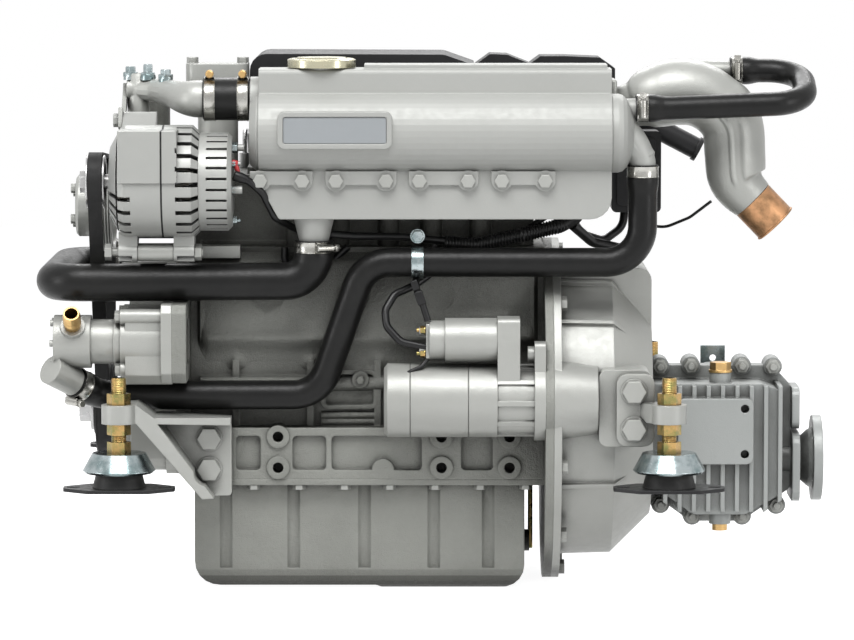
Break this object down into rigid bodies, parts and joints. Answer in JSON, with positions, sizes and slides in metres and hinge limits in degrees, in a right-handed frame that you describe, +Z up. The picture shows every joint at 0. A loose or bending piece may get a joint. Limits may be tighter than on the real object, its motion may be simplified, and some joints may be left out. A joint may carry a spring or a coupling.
{
  "type": "marine diesel engine",
  "caption": "Inline marine diesel engine with heat exchanger, belt drive, alternator, starter, raw water pump, reversing gearbox, wet exhaust elbow and flexible mounts.",
  "frame": {"origin": "centre of the rear face of the output coupling", "axes": "+X aft along the output shaft, +Z up, -Y the side with the header tank, starter and raw water pump"},
  "size_m": [0.9299, 0.534, 0.6316],
  "materials": {
    "engine_paint": "satin grey enamel over cast iron",
    "silver_paint": "satin light grey enamel",
    "tank_paint": "satin silver grey enamel over cast aluminium",
    "gear_paint": "satin grey enamel over cast aluminium",
    "alternator_metal": "bead blasted",
    "black_plastic": "moulded black",
    "black_paint": "satin black",
    "filter_paint": "white enamel",
    "copper_nickel": "drawn tube",
    "copper": "oxidised copper",
    "brass": "machined",
    "yellow_zinc": "yellow zinc plated",
    "bright_zinc": "bright zinc plated",
    "plate_metal": "brushed, bare",
    "stainless": "polished stainless",
    "bare_steel": "machined",
    "bare_iron": "machined",
    "hose_rubber": "semi-gloss",
    "belt_rubber": "matte",
    "mount_rubber": "matte",
    "impeller_rubber": "matte",
    "wire_plastic": "corrugated sleeve"
  },
  "bodies": {
    "engine": {"engine_block": "engine_paint", "oil_pan": "engine_paint", "cylinder_head": "engine_paint", "rocker_cover": "engine_paint", "intake_manifold": "silver_paint", "air_silencer": "black_plastic", "heat_exchanger": "tank_paint", "manifold_bolts": "silver_paint", "end_caps": "tank_paint", "tube_bundle": "copper_nickel", "name_plate": "plate_metal", "exhaust_elbow": "tank_paint", "exhaust_tail": "copper", "loop_hose": "hose_rubber", "raw_water_hose": "hose_rubber", "coolant_hose": "hose_rubber", "thermostat_hose": "hose_rubber", "hose_clamps": "stainless", "water_outlet": "silver_paint", "coolant_pump": "engine_paint", "timing_case": "silver_paint", "end_plates": "engine_paint", "casing_bolts": "silver_paint", "raw_pump_body": "silver_paint", "brass_fittings": "brass", "starter_motor": "silver_paint", "starter_solenoid": "silver_paint", "starter_drive_end": "silver_paint", "bell_housing": "silver_paint", "gearbox_near_half": "gear_paint", "gearbox_far_half": "gear_paint", "gearbox_covers": "gear_paint", "mount_brackets": "silver_paint", "bracket_bolts": "silver_paint", "mount_studs": "yellow_zinc", "mount_cups": "bright_zinc", "mount_rubbers": "mount_rubber", "mount_bases": "black_paint", "drive_belt": "belt_rubber", "alternator_bracket": "silver_paint", "relay_box": "black_plastic", "wiring": "wire_plastic", "injection_pump": "engine_paint", "injector_pipes": "bare_steel", "filters": "filter_paint"},
    "crank": {"crankshaft": "bare_steel", "crank_pulley": "black_paint", "flywheel": "bare_iron"},
    "coolant_pump_rotor": {"pump_pulley": "silver_paint"},
    "alternator": {"alternator_front": "alternator_metal", "alternator_rear": "alternator_metal", "alternator_cover": "alternator_metal"},
    "alternator_rotor": {"alternator_rotor": "bare_steel"},
    "raw_water_rotor": {"raw_pump_rotor": "impeller_rubber"},
    "output": {"output_shaft": "gear_paint"},
    "shift": {"shift_lever": "bright_zinc"},
    "speed": {"throttle_lever": "bright_zinc"},
    "filler_cap": {"oil_cap": "black_plastic"},
    "tank_cap": {"pressure_cap": "yellow_zinc"},
    "dipstick": {"dipstick": "yellow_zinc"}
  },
  "joints": [
    {"name": "crank_spin", "type": "hinge", "parent": "engine", "child": "crank", "pos_m": [-0.6, 0, 0.061], "axis": [1, 0, 0], "continuous": true},
    {"name": "coolant_pump_spin", "type": "hinge", "parent": "engine", "child": "coolant_pump_rotor", "pos_m": [-0.858, 0, 0.304], "axis": [1, 0, 0], "continuous": true},
    {"name": "alternator_swing", "type": "hinge", "parent": "engine", "child": "alternator", "pos_m": [-0.78, -0.177, 0.261], "axis": [1, 0, 0], "range_deg": [-6, 0]},
    {"name": "alternator_spin", "type": "hinge", "parent": "alternator", "child": "alternator_rotor", "pos_m": [-0.858, -0.162, 0.342], "axis": [1, 0, 0], "continuous": true},
    {"name": "raw_water_spin", "type": "hinge", "parent": "engine", "child": "raw_water_rotor", "pos_m": [-0.87, -0.168, 0.156], "axis": [1, 0, 0], "continuous": true},
    {"name": "output_spin", "type": "hinge", "parent": "engine", "child": "output", "pos_m": [0, 0, 0], "axis": [1, 0, 0], "continuous": true},
    {"name": "shift_turn", "type": "hinge", "parent": "engine", "child": "shift", "pos_m": [-0.124, 0.098, 0.081], "axis": [0, 1, 0], "range_deg": [-30, 30]},
    {"name": "speed_turn", "type": "hinge", "parent": "engine", "child": "speed", "pos_m": [-0.545, 0.174, 0.162], "axis": [0, 1, 0], "range_deg": [0, 40], "stiffness_Nm_per_rad": 0.2, "springref_deg": -17.19},
    {"name": "filler_cap_lift", "type": "slide", "parent": "engine", "child": "filler_cap", "axis": [0, 0, 1], "range_m": [0, 0.04]},
    {"name": "tank_cap_lift", "type": "slide", "parent": "engine", "child": "tank_cap", "axis": [0, 0, 1], "range_m": [0, 0.04]},
    {"name": "dipstick_pull", "type": "slide", "parent": "engine", "child": "dipstick", "axis": [0, 0, 1], "range_m": [0, 0.4]}
  ],
  "couplings": [
    {"joint": "coolant_pump_spin", "follows": "crank_spin", "ratio": 0.94546},
    {"joint": "alternator_spin", "follows": "crank_spin", "ratio": 1.7931},
    {"joint": "raw_water_spin", "follows": "crank_spin", "ratio": 0.5}
  ]
}
